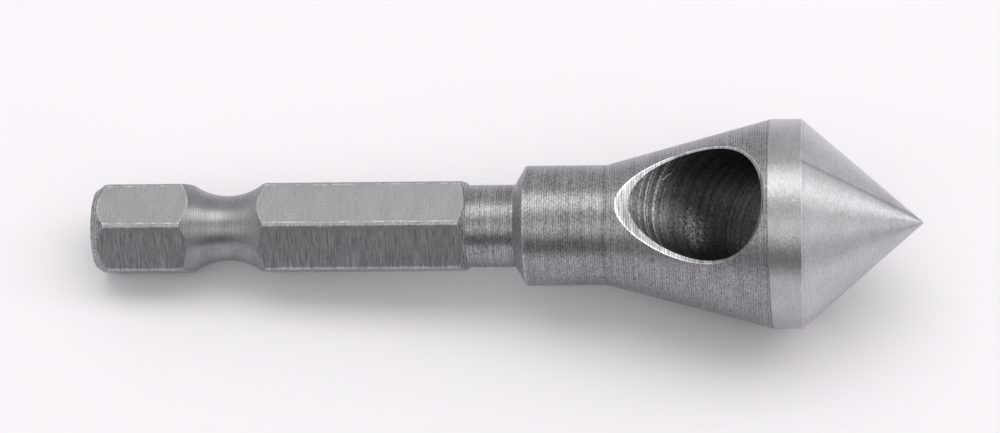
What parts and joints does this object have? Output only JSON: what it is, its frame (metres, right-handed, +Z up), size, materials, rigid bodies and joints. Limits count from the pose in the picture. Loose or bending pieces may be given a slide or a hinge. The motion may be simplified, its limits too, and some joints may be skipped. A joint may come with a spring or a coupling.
{
  "type": "countersink bit",
  "caption": "Countersink bit with a conical head bored through by a slanting cross hole, on a hexagonal shank with a round chuck groove and a neck.",
  "frame": {"origin": "bottom centre of the bounding box of the bit as it lies, on the plane that it rests on", "axes": "+Z up, +X along the bit from the shank's end towards the point, with the tool axis rising by 5.17 degrees towards +X, and +Y to its left side"},
  "size_m": [0.0604, 0.0152, 0.0153],
  "materials": {
    "tool_steel": "bare tool steel, finely turned on the collar and taper and ground on the flats, band and cone"
  },
  "bodies": {
    "root": {"countersink_bit": "tool_steel"}
  },
  "joints": []
}
